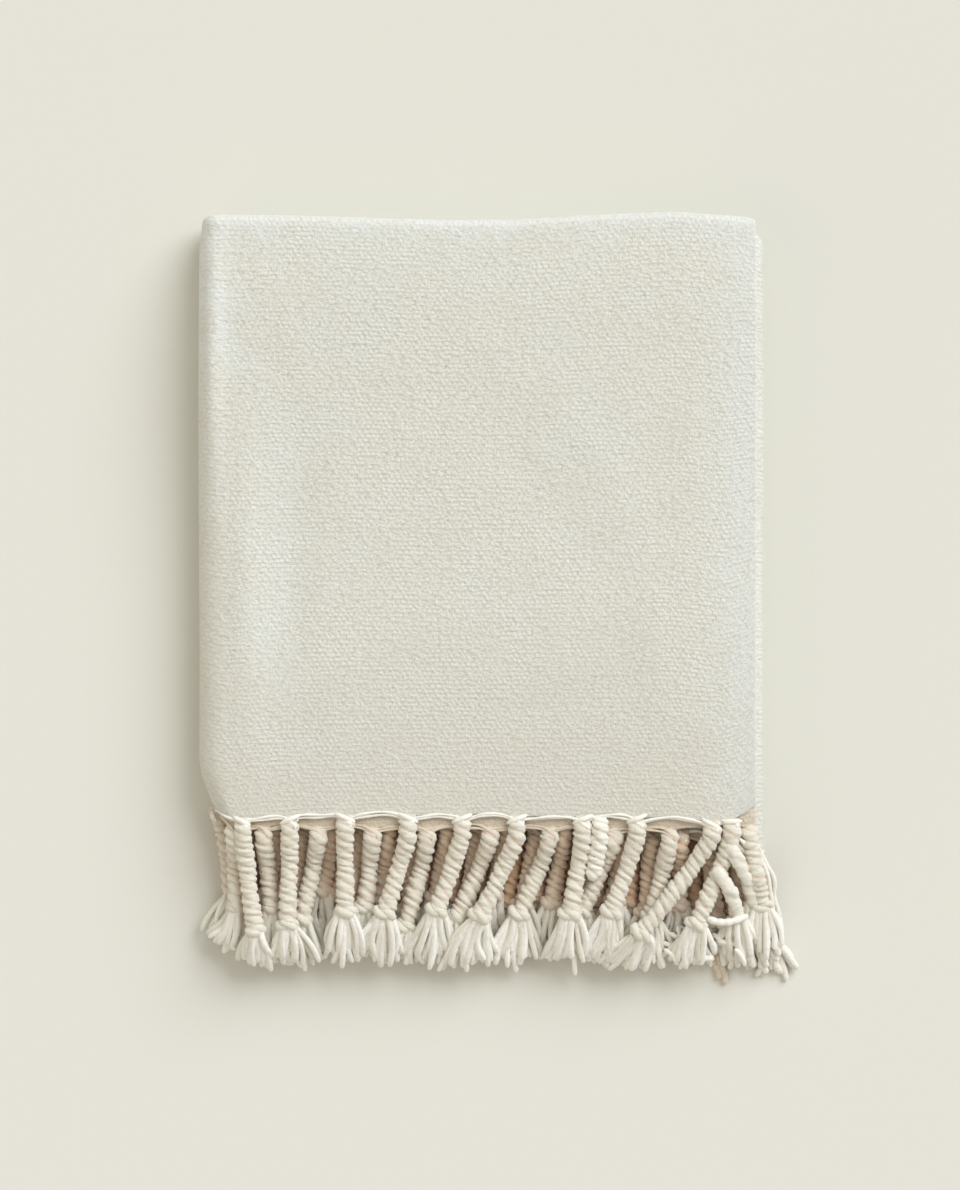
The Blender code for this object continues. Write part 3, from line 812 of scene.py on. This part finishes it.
def add_loose_ends(tubes, rng):
    """The ropes and yarns that came loose by the right corner."""
    count = LOOSE_ROPE_POINTS
    for k, row in enumerate(LOOSE_ROPES):
        path = smooth_path(row, count)
        start = blunt_by_steps(np.arange(count), 6.0, 0.1)
        half_width = LOOSE_ROPE_HALF_WIDTH * start * np.linspace(1.0, 1.15, count)
        plies = ply_shape(1.0 + k, 3.0 * k, LOOSE_GROOVE, LOOSE_LAY)
        # Painted light on the loosened ropes and on their tufts
        tubes.sweep(path, half_width, ROPE_SIDES, -0.1, plies, flatness=ROPE_FLATNESS)
        add_tuft(tubes, rng, path[-1] + np.array([0.0, 3.0, 0.0]), 1.5, TOP_INNER_Z, -0.2, 0.85)
    steps = np.arange(LOOSE_YARN_POINTS)
    blunt = blunt_by_steps(np.minimum(steps, steps[::-1]), 1.6, 0.25)
    for k, row in enumerate(LOOSE_YARNS):
        path = smooth_path(row, LOOSE_YARN_POINTS)
        size = 0.8 if k in THIN_YARNS else 1.1
        thick = size * STRAND_RADIUS * (1.0 + 0.1 * np.sin(1.3 * steps + rng.uniform(*ANY_TURN)))
        # Painted shade on the yarns that lie low, painted light on the others
        tubes.sweep(path, thick * blunt, LOOSE_YARN_SIDES, LOW_YARN_PAINTED_SHADE if k in DEEP_YARNS else -0.2)


def add_frayed_yarns(tubes, rng):
    """Short yarns that lie aslant over the tufts by the right corner."""
    t = np.linspace(0, 1, 9)
    for _ in range(FRAYED):
        start = [rng.uniform(*ends) for ends in (FRAYED_X, FRAYED_Y, FRAYED_Z)]
        angle, length = rng.uniform(-1.3, 0.1), rng.uniform(11.0, 20.0)
        bend = 2.5 * rng.standard_normal() * np.sin(np.pi * t)
        x = start[0] + length * t * math.cos(angle) - bend * math.sin(angle)
        y = start[1] + length * t * math.sin(angle) + bend * math.cos(angle)
        z = start[2] + 2.0 * np.sin(np.pi * t) - 4.0 * t
        thick = 0.8 * STRAND_RADIUS * blunt_ends(t, 6.0, 0.3)
        # Painted light on the frayed yarns, which lie on top
        tubes.sweep(np.stack([x, y, z], axis=-1), thick, STRAND_SIDES, PAINTED_LIGHT_LEVEL)


def laid_points(u, out, depth, rise, index, lowest):
    """Points of a yarn laid by the hem, none of them lower than lowest."""
    u = np.clip(u, 0.5, U_END - 0.5)
    points = np.array([hem_point(a, b, depth, c, index) for a, b, c in zip(u, out, rise)])
    points[:, 2] = np.maximum(points[:, 2], lowest)
    return points


def add_hem_yarns(tubes, rng, roots, outer):
    """Yarns laid along the hem from each root, which rise over the next one as its wrap."""
    depth, index = (0.0, 1) if outer else (PITCH, 2)
    high = 1.0 if outer else 0.5
    wavy = 1.0 if outer else INNER_SCALLOP
    t = np.linspace(0, 1, HEM_YARN_POINTS)
    over = np.clip((t - 0.78) / 0.22, 0, 1)
    for near, far in zip(roots[1:], roots[:-1]):
        span = near - far
        if span > HEM_YARN_SPAN:
            continue
        for strand in range(HEM_YARNS):
            u = near + 1.0 - (span + 5.5) * t
            lay = scallop(np.clip(u, far, near), roots) * wavy
            out = -lay - 0.3 + 1.5 * strand + 5.0 * over**1.5 + 2.5 * (1 - t) ** 6
            out = out + 0.4 * rng.standard_normal()
            out = out + 0.6 * np.sin(9.0 * t + rng.uniform(*ANY_TURN))
            climb = 0.2 - 0.6 * strand + 4.6 * np.sin(0.5 * np.pi * over)
            rise = HALF + high * (climb + 0.2 * rng.standard_normal())
            points = laid_points(u, out, depth, rise, index, HEM_YARN)
            thick = HEM_YARN * (1.0 + 0.8 * over + 0.2 * np.sin(14.0 * t + rng.uniform(*ANY_TURN)))
            # Painted light on the yarns of the outer hem, painted shade on those of the inner hem, which
            # lies under it
            tubes.sweep(points, thick, STRAND_SIDES, PAINTED_LIGHT_LEVEL if outer else INNER_HEM_PAINTED_SHADE)


def add_root_wraps(tubes, rng, roots):
    """A short bright yarn laid aslant over each root where it leaves the hem."""
    t = np.linspace(0, 1, 9)
    for root in roots:
        slant = rng.choice((-1.0, 1.0))
        u = root + 7.5 * (1 - 2 * t)
        out = 0.5 + slant * 3.2 * (2 * t - 1) + 0.5 * rng.standard_normal()
        rise = HALF + 1.0 + 3.0 * np.sin(np.pi * t) + 1.2 * t * (out > 0)
        points = laid_points(u, out, 0.0, rise, 1, ROOT_YARN)
        # Painted light on the wraps
        tubes.sweep(points, ROOT_YARN * blunt_ends(t, 4.5, 0.2), LOOSE_YARN_SIDES, PAINTED_LIGHT_LEVEL)


def fringe(name, tassels, outer):
    """Ropes, knots, tufts and the yarns gathered from the hem, all of one end."""
    tubes = Tubes()
    rng = np.random.default_rng(OUTER_SEED if outer else INNER_SEED)
    for u, knot_x, drop in tassels:
        path, radius, flatness, rest = rope_path(u, knot_x, drop, outer)
        root_x = path[0][0]
        # Painted shade, browner for rows deeper in the fringe and less by the sides: fading a little
        # along the rope, less on the knot, less again on the tuft, which also gets painted light
        depth = ROW_PAINTED_SHADE[rest] * (SIDE_PAINTED_SHADE if abs(root_x) > SIDE_X else 1.0)
        fade = np.linspace(1.0, 0.8, len(path))
        shape = ply_shape(rng.uniform(*ANY_TURN), rng.uniform(*ANY_TURN))
        tubes.sweep(path, radius, ROPE_SIDES, depth * fade, shape, flatness=flatness)
        tangent = path[-1] - path[-5]
        tangent /= np.linalg.norm(tangent)
        knot = knot_path(path[-1], tangent, rng.uniform(*ANY_TURN))
        tube = KNOT_TUBE * (1 + KNOT_UNEVEN * rng.standard_normal())
        tubes.sweep(knot, tube, KNOT_SIDES, 0.75 * depth, closed=True, flatness=KNOT_TUBE_FLATNESS)
        by_left = root_x < LEFT_FAN_X
        heading = TUFT_HEADING * (knot_x - root_x) + (LEFT_FAN if u > U_LEFT and by_left else 0.0)
        size = LEFT_FAN_SIZE if by_left else 1.0
        add_tuft(tubes, rng, path[-1], heading, rest, 0.3 * depth + PAINTED_LIGHT_LEVEL, size)
    if outer:
        path, radius, flatness, _ = rope_path(*LOOSE_END, True)
        blunt = blunt_by_steps(np.arange(len(path) - 1, -1, -1), 5.0, 0.1)
        # Painted light on the loose end
        tubes.sweep(path, radius * blunt, ROPE_SIDES, -0.2, ply_shape(1.0, 2.0), flatness=flatness)
        add_root_wraps(tubes, rng, [row[0] for row in tassels if row[0] < U_LEFT])
        add_loose_ends(tubes, rng)
        add_frayed_yarns(tubes, rng)
    add_hem_yarns(tubes, rng, np.sort([row[0] for row in tassels]), outer)
    return tubes.build(name)


# Materials

# Weave, in metres of flat cloth: height of a row, length of a lump, how far they wander
WEAVE_ROW, WEAVE_LUMP = 0.0034, 0.0041
WEAVE_WANDER = (0.0018, 0.0007, 0.0)
# Noises: scale, detail, roughness
DRIFT = (130.0, 3.0, 0.65)
PATCHES = (26.0, 2.0, 0.5)
PILE = (620.0, 4.0, 0.75)
CLUMPS = (240.0, 2.0, 0.55)
WIDE_TONES = (11.0, 3.0, 0.55)
RAGGED_EDGES = (30.0, 5.0, 0.7)
FIBRES = (700.0, 3.0, 0.7)
YARN_CLUMPS = (220.0, 2.0, 0.5)
FLOOR_GRAIN = (300.0, 2.0, 0.5)
# Heights of pile and clumps over the weave, and of fibres over a yarn's clumps
PILE_HEIGHT, CLUMP_HEIGHT, FIBRE_HEIGHT = 1.8, 0.8, 0.8
# Bumps: distance in metres, strength
CLOTH_BUMP = (0.0010, 0.9)
YARN_BUMP = (0.0012, 0.8)
# Pale tips of the pile, free of the painted shade in the valleys: weights of pile and weave, and the
# height at which they start
TIP_PILE, TIP_WEAVE, TIP_START = 1.2, 0.8, 0.53
# How painted glints and the painted shade of pinholes follow from the speckle: factor, offset
PAINTED_GLINTS = (11.0, -3.3)
PINHOLE_PAINTED_SHADE = (-9.0, 1.65)
# Painted shade: how far from the outer hem the cloth is darker, in millimetres, and how much
HEM_SHADE_V, HEM_SHADE = 170.0, 0.45
# Painted shade, tan, at the end by the inner hem, which lies under the outer one: length in metres,
# steepness of its start
END_LENGTH, END_RISE = 0.03, 30.0
# Painted light: paler, cooler areas where the cloth faces the light, by the far edge, by the right
# edge and two on the left: middle and half width across, middle and half width along, strength. Their
# edges are ragged by this much.
PAINTED_LIGHT_AREAS = (
    (200.0, 2000.0, 456.0, 26.0, 0.42),
    (10.0, 30.0, 250.0, 2000.0, 0.42),
    (362.0, 24.0, 190.0, 140.0, 0.3),
    (425.0, 42.0, 405.0, 85.0, 0.5),
)
RAGGEDNESS = 3.6

CREAMS = ((0.920, 0.906, 0.789, 1), (0.928, 0.949, 0.872, 1))
# Painted shade in the valleys, painted glints, painted shade in pinholes and towards the outer hem,
# painted light in paler areas, and painted shade at the end by the inner hem
VALLEY_PAINTED_SHADE_TONE = (0.60, 0.54, 0.42, 1)
PAINTED_GLINT_TONE = (0.975, 0.97, 0.935, 1)
PINHOLE_PAINTED_SHADE_TONE = (0.66, 0.62, 0.51, 1)
HEM_PAINTED_SHADE_TONE = (0.78, 0.74, 0.63, 1)
PAINTED_LIGHT_TONE = (0.925, 0.965, 0.95, 1)
END_PAINTED_SHADE_TONE = (0.82, 0.69, 0.52, 1)
YARN_PALE = ((0.784, 0.740, 0.611, 1), (0.829, 0.800, 0.692, 1))
# Brown painted shade of the yarn, and its bright painted light
YARN_PAINTED_SHADE_TONES = ((0.60, 0.335, 0.160, 1), (0.76, 0.495, 0.290, 1))
YARN_PAINTED_LIGHT_TONE = (0.985, 0.960, 0.870, 1)
FLOOR_TONES = ((0.768, 0.760, 0.680, 1), (0.786, 0.778, 0.698, 1))

CLOTH_SHEEN, YARN_SHEEN, SHEEN_ROUGHNESS = 0.3, 0.6, 0.45
SPECULAR = 0.25
# A negative value turns a yarn brighter, by this factor: painted light
PAINTED_LIGHT_FACTOR = -4.0

# Lights and camera

# Half side of the floor, in metres
FLOOR_REACH = 9.0
# Suns: name, angle in degrees, strength, colour, where it comes from. A wide, soft, slightly
# cool key over the far right corner, and a warm bounce from the near left.
SUNS = (
    ("key", 44.0, 2.6, (0.893, 0.9375, 1.0), (50.0, 57.0, 54.0)),
    ("bounce", 70.0, 0.44, (1.0, 0.92, 0.77), (-56.0, -30.0, 38.0)),
)
SKY_TONE, SKY_STRENGTH = (1.0, 0.955, 0.89, 1), 0.51
# The picture's size in pixels, its scale, and the pixel over the origin of the frame
PICTURE = (960, 1190)
MM_PER_PX = 0.76
ORIGIN_PX = (481.5, 515.5)
# Height of the plane that has this scale, and the camera's distance from it, in metres
PLANE_Z, CAMERA_DISTANCE = 0.045, 3.2
SENSOR = 36.0


def node(tree, kind, inputs=(), **settings):
    """Adds a node. inputs maps a socket name or number to a value or to another socket."""
    made = tree.nodes.new(kind)
    for key, value in settings.items():
        setattr(made, key, value)
    for key, value in dict(inputs).items():
        if isinstance(value, bpy.types.NodeSocket):
            tree.links.new(value, made.inputs[key])
        else:
            made.inputs[key].default_value = value
    return made


def maths(tree, operation, *values, clamp=False):
    """Adds a maths node and gives its output."""
    made = node(tree, "ShaderNodeMath", dict(enumerate(values)), operation=operation, use_clamp=clamp)
    return made.outputs[0]


def vector_maths(tree, operation, a, b):
    """Adds a vector maths node and gives its output."""
    return node(tree, "ShaderNodeVectorMath", {0: a, 1: b}, operation=operation).outputs[0]


def noise(tree, vector, scale, detail, roughness, output=0):
    """Adds a noise and gives one of its outputs."""
    inputs = {"Vector": vector, "Scale": scale, "Detail": detail, "Roughness": roughness}
    return node(tree, "ShaderNodeTexNoise", inputs).outputs[output]


def raise_surface(tree, shader, height, distance, strength):
    """Bump on a shader, from a height."""
    bump = node(tree, "ShaderNodeBump", {"Height": height, "Distance": distance, "Strength": strength})
    tree.links.new(bump.outputs[0], shader.inputs["Normal"])


def shader_of(name, sheen, roughness=0.9, specular=SPECULAR):
    """A new material, its tree and its shader."""
    material = bpy.data.materials.new(name)
    material.use_nodes = True
    tree = material.node_tree
    shader = tree.nodes["Principled BSDF"]
    shader.inputs["Roughness"].default_value = roughness
    shader.inputs["Sheen Weight"].default_value = sheen
    shader.inputs["Sheen Roughness"].default_value = SHEEN_ROUGHNESS
    shader.inputs["Specular IOR Level"].default_value = specular
    return material, tree, shader


def mix(tree, factor, a, b):
    """Adds a colour mix and gives its output."""
    made = tree.nodes.new("ShaderNodeMix")
    made.data_type = "RGBA"
    for socket, value in ((made.inputs[0], factor), (made.inputs[6], a), (made.inputs[7], b)):
        if isinstance(value, bpy.types.NodeSocket):
            tree.links.new(value, socket)
        else:
            socket.default_value = value
    return made.outputs[2]


def nearness(tree, place, middle, half):
    """1 at the middle of a band, 0 at its edges, less past them."""
    off = maths(tree, "ABSOLUTE", maths(tree, "SUBTRACT", place, middle * MM))
    return maths(tree, "SUBTRACT", 1.0, maths(tree, "DIVIDE", off, half * MM))


def half_wave(tree, value):
    """A round hump over each whole step of value."""
    return maths(tree, "SINE", maths(tree, "MULTIPLY", maths(tree, "FRACT", value), math.pi))


def weave_relief(tree, flat):
    """Height of the weave: staggered lumps in wandering rows, knubbly only in patches."""
    drift = noise(tree, flat, *DRIFT, "Color")
    wander = vector_maths(tree, "SUBTRACT", drift, (0.5, 0.5, 0.5))
    wander = vector_maths(tree, "MULTIPLY", wander, WEAVE_WANDER)
    moved = node(tree, "ShaderNodeSeparateXYZ", {0: vector_maths(tree, "ADD", flat, wander)})
    row = maths(tree, "DIVIDE", moved.outputs[1], WEAVE_ROW)
    ridge = maths(tree, "POWER", half_wave(tree, row), 0.7)
    stagger = maths(tree, "MULTIPLY", maths(tree, "FLOOR", row), 0.5)
    lump = maths(tree, "ADD", maths(tree, "DIVIDE", moved.outputs[0], WEAVE_LUMP), stagger)
    cell = node(tree, "ShaderNodeCombineXYZ", {0: lump, 1: row}).outputs[0]
    inputs = {"Vector": cell, "Scale": 1.0, "Randomness": 0.65}
    pebble = node(tree, "ShaderNodeTexVoronoi", inputs, voronoi_dimensions="2D")
    round_top = maths(tree, "SUBTRACT", 1.0, pebble.outputs["Distance"], clamp=True)
    knub = maths(tree, "POWER", maths(tree, "MULTIPLY", ridge, half_wave(tree, lump)), 0.6)
    shows = maths(tree, "MULTIPLY_ADD", noise(tree, flat, *PATCHES), 1.8, -0.5, clamp=True)
    return maths(tree, "MULTIPLY_ADD", maths(tree, "MULTIPLY", knub, shows), 0.6, round_top)


def painted_light_amount(tree, flat, u, v):
    """How much painted light, paler and cooler, each place gets."""
    ragged = maths(tree, "SUBTRACT", noise(tree, flat, *RAGGED_EDGES), 0.5)
    amount = 0.0
    for middle_u, half_u, middle_v, half_v, strength in PAINTED_LIGHT_AREAS:
        by_u = nearness(tree, u, middle_u, half_u)
        by_v = nearness(tree, v, middle_v, half_v)
        inside = maths(tree, "MINIMUM", by_u, by_v)
        inside = maths(tree, "MULTIPLY_ADD", ragged, RAGGEDNESS, inside, clamp=True)
        amount = maths(tree, "MAXIMUM", amount, maths(tree, "MULTIPLY", inside, strength))
    return amount


def chenille_material():
    """Rows of plush weft pinched by the warp, irregular, with pale tips over painted shade in warmer
    valleys, painted glints, and more painted light and shade.
    """
    material, tree, shader = shader_of("chenille_weave", CLOTH_SHEEN)
    flat = node(tree, "ShaderNodeUVMap", uv_map="flat").outputs[0]
    place = node(tree, "ShaderNodeSeparateXYZ", {0: flat})
    u, v = place.outputs[0], place.outputs[1]
    weave = weave_relief(tree, flat)
    pile = noise(tree, flat, *PILE)
    clump = noise(tree, flat, *CLUMPS)
    height = maths(tree, "MULTIPLY_ADD", pile, PILE_HEIGHT, weave)
    height = maths(tree, "MULTIPLY_ADD", clump, CLUMP_HEIGHT, height)
    raise_surface(tree, shader, height, *CLOTH_BUMP)
    # Painted shade: valleys between the rows darker and warmer, only the pale tips of the pile free of it
    tips = maths(tree, "MULTIPLY_ADD", pile, TIP_PILE, maths(tree, "MULTIPLY", weave, TIP_WEAVE))
    tips = maths(tree, "SUBTRACT", tips, TIP_START, clamp=True)
    cream = mix(tree, noise(tree, flat, *WIDE_TONES), *CREAMS)
    colour = mix(tree, tips, mix(tree, 0.5, cream, VALLEY_PAINTED_SHADE_TONE), cream)
    # Painted glints of the pile, and painted shade in its pinholes
    speckle = maths(tree, "MULTIPLY", pile, clump)
    for (factor, offset), tone in ((PAINTED_GLINTS, PAINTED_GLINT_TONE), (PINHOLE_PAINTED_SHADE, PINHOLE_PAINTED_SHADE_TONE)):
        colour = mix(tree, maths(tree, "MULTIPLY_ADD", speckle, factor, offset, clamp=True), colour, tone)
    # Painted shade, darker towards the outer hem
    shaded = maths(tree, "SUBTRACT", HEM_SHADE_V * MM, v)
    shaded = maths(tree, "DIVIDE", shaded, HEM_SHADE_V * MM, clamp=True)
    colour = mix(tree, maths(tree, "MULTIPLY", shaded, HEM_SHADE), colour, HEM_PAINTED_SHADE_TONE)
    # Painted light: paler, cooler areas where the cloth faces the light
    colour = mix(tree, painted_light_amount(tree, flat, u, v), colour, PAINTED_LIGHT_TONE)
    # Painted shade, tan, at the end by the inner hem, which lies under the outer one
    near_end = maths(tree, "SUBTRACT", v, FLAT_LENGTH * MM - END_LENGTH)
    near_end = maths(tree, "MULTIPLY", near_end, END_RISE, clamp=True)
    colour = mix(tree, near_end, colour, END_PAINTED_SHADE_TONE)
    tree.links.new(colour, shader.inputs["Base Color"])
    return material


def yarn_material():
    """Plush yarn: fine fuzz on each ply, with brown painted shade where it lies deeper in the fringe and
    bright painted light where it lies on top.
    """
    material, tree, shader = shader_of("plush_yarn", YARN_SHEEN)
    place = node(tree, "ShaderNodeNewGeometry").outputs["Position"]
    clump = noise(tree, place, *YARN_CLUMPS)
    height = maths(tree, "MULTIPLY_ADD", noise(tree, place, *FIBRES), FIBRE_HEIGHT, clump)
    raise_surface(tree, shader, height, *YARN_BUMP)
    # Painted shading: positive values mix in brown painted shade, negative ones bright painted light
    tint = node(tree, "ShaderNodeAttribute", attribute_name="tint").outputs["Fac"]
    pale, painted_shade_colour = mix(tree, clump, *YARN_PALE), mix(tree, clump, *YARN_PAINTED_SHADE_TONES)
    colour = mix(tree, maths(tree, "MULTIPLY", tint, 1.0, clamp=True), pale, painted_shade_colour)
    colour = mix(tree, maths(tree, "MULTIPLY", tint, PAINTED_LIGHT_FACTOR, clamp=True), colour, YARN_PAINTED_LIGHT_TONE)
    tree.links.new(colour, shader.inputs["Base Color"])
    return material


def floor_material():
    """Matt studio floor with a faint grain."""
    material, tree, shader = shader_of("studio_floor", 0.0, 0.95, 0.0)
    place = node(tree, "ShaderNodeNewGeometry").outputs["Position"]
    colour = mix(tree, noise(tree, place, *FLOOR_GRAIN), *FLOOR_TONES)
    tree.links.new(colour, shader.inputs["Base Color"])
    return material


def build_floor():
    """The floor, which belongs to the picture and not to the part."""
    size = FLOOR_REACH
    points = np.array([(-size, -size, 0), (size, -size, 0), (size, size, 0), (-size, size, 0)], float)
    floor = make_mesh("floor", points, np.array([[0, 1, 2, 3]]))
    floor.data.materials.append(floor_material())


def build_lights():
    """The suns, and warm even light from all round."""
    for name, angle, energy, colour, direction in SUNS:
        lamp = bpy.data.lights.new(name, "SUN")
        lamp.angle = math.radians(angle)
        lamp.energy = energy
        lamp.color = colour
        sun = bpy.data.objects.new(name, lamp)
        sun.rotation_euler = Vector(direction).to_track_quat("Z", "Y").to_euler()
        bpy.context.scene.collection.objects.link(sun)
    world = bpy.data.worlds.new("studio")
    world.use_nodes = True
    background = world.node_tree.nodes["Background"]
    background.inputs[0].default_value = SKY_TONE
    background.inputs[1].default_value = SKY_STRENGTH
    bpy.context.scene.world = world


def build_camera():
    """Straight down over the middle of the picture, with a long lens."""
    width, height = PICTURE
    data = bpy.data.cameras.new("camera")
    data.sensor_fit = "VERTICAL"
    data.sensor_height = SENSOR
    data.lens = SENSOR * CAMERA_DISTANCE / (height * MM_PER_PX * MM)
    camera = bpy.data.objects.new("camera", data)
    x = (width / 2 - ORIGIN_PX[0]) * MM_PER_PX * MM
    y = (ORIGIN_PX[1] - height / 2) * MM_PER_PX * MM
    camera.location = (x, y, PLANE_Z + CAMERA_DISTANCE)
    camera.rotation_euler = (0.0, 0.0, 0.0)
    bpy.context.scene.collection.objects.link(camera)
    bpy.context.scene.camera = camera


def main():
    bpy.context.scene.view_settings.view_transform = "Standard"
    sheet = folded_sheet()
    sheet.data.materials.append(chenille_material())
    yarn = yarn_material()
    outer = fringe("outer_tassels", OUTER_TASSELS, True)
    inner = fringe("inner_tassels", INNER_TASSELS, False)
    dressed = (
        (sheet, "blanket_cloth", "cloth"),
        (outer, "fringe_outer", "fringe"),
        (inner, "fringe_inner", "fringe"),
    )
    for piece, solid, slot in dressed:
        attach(piece, "root")
        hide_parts(solid)
    for piece in (outer, inner):
        piece.data.materials.append(yarn)
    build_floor()
    build_lights()
    build_camera()


main()
